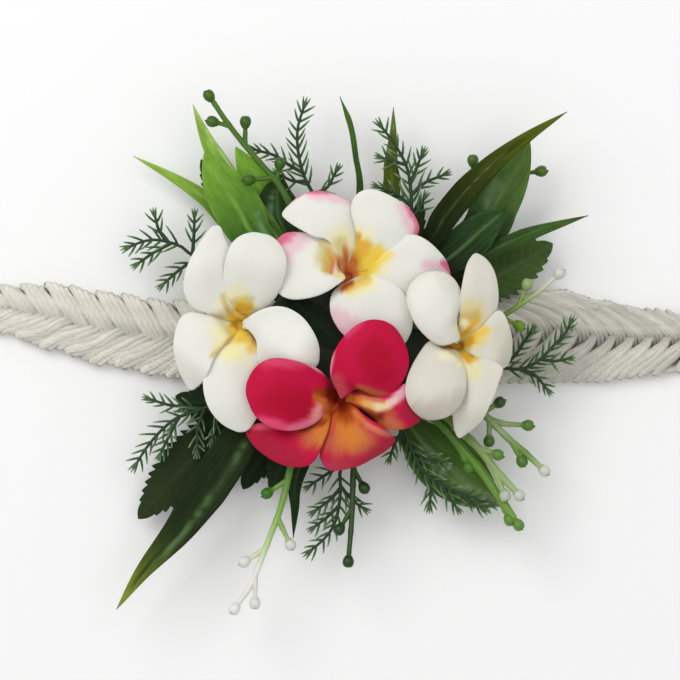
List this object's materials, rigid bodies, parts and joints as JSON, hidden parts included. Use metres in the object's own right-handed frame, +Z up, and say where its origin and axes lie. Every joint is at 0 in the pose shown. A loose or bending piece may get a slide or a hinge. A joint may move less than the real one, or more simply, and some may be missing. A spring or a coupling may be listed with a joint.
{
  "type": "wrist corsage",
  "caption": "Wrist corsage of foam plumeria blooms over leaves, needle sprigs and berry sprays on an open braided band, laid flat with the flowers up.",
  "frame": {"origin": "centre of the felt pad's flat underside, the side that lies on the wrist", "axes": "+X along the open band, +Y across it towards the top of the picture, +Z up through the blooms"},
  "size_m": [0.274, 0.1629, 0.04],
  "materials": {
    "felt": "dark green felt",
    "braid": "bleached plant-fibre cord, matte",
    "binding": "wound cord, matte",
    "stem_tape": "dark green florist's tape",
    "fresh_leaf": "satin light green leaf",
    "deep_leaf": "satin dark green leaf",
    "toothed_leaf": "matte woven leaf cloth",
    "needle_sprig": "moulded, matte",
    "berry_spray": "moulded, glossy",
    "white_petal": "matte foam sheet",
    "pink_petal": "matte foam sheet"
  },
  "bodies": {
    "root": {"bamboo_leaf_bottom": "deep_leaf", "bamboo_leaf_far_right": "deep_leaf", "bamboo_leaf_left": "fresh_leaf", "bamboo_leaf_lower_left": "deep_leaf", "bamboo_leaf_right": "deep_leaf", "bamboo_leaf_top": "deep_leaf", "bamboo_leaf_top_right": "deep_leaf", "bamboo_leaf_upper_left": "fresh_leaf", "berry_spray_band_side": "berry_spray", "berry_spray_bottom": "berry_spray", "berry_spray_bottom_left": "berry_spray", "berry_spray_lower_right_inner": "berry_spray", "berry_spray_lower_right_middle": "berry_spray", "berry_spray_lower_right_outer": "berry_spray", "berry_spray_right": "berry_spray", "berry_spray_upper_left": "berry_spray", "braided_band": "braid", "broad_leaf_behind": "fresh_leaf", "broad_leaf_dark_left": "deep_leaf", "broad_leaf_dark_right": "deep_leaf", "broad_leaf_left": "fresh_leaf", "broad_leaf_lower_right": "deep_leaf", "broad_leaf_right": "deep_leaf", "end_binding_left": "binding", "end_binding_right": "binding", "felt_pad": "felt", "needle_sprig_bottom": "needle_sprig", "needle_sprig_left": "needle_sprig", "needle_sprig_lower_left": "needle_sprig", "needle_sprig_lower_right": "needle_sprig", "needle_sprig_right": "needle_sprig", "needle_sprig_top": "needle_sprig", "needle_sprig_top_right": "needle_sprig", "plumeria_left": "white_petal", "plumeria_pink": "pink_petal", "plumeria_right": "white_petal", "plumeria_top": "white_petal", "stem_knot": "stem_tape", "toothed_leaf_bottom": "toothed_leaf", "toothed_leaf_bottom_inner": "toothed_leaf", "toothed_leaf_inner_right": "toothed_leaf", "toothed_leaf_left": "toothed_leaf", "toothed_leaf_lower_left": "toothed_leaf", "toothed_leaf_right": "toothed_leaf", "toothed_leaf_top": "toothed_leaf", "toothed_leaf_upper_left": "toothed_leaf", "tucked_leaf": "toothed_leaf"}
  },
  "joints": []
}
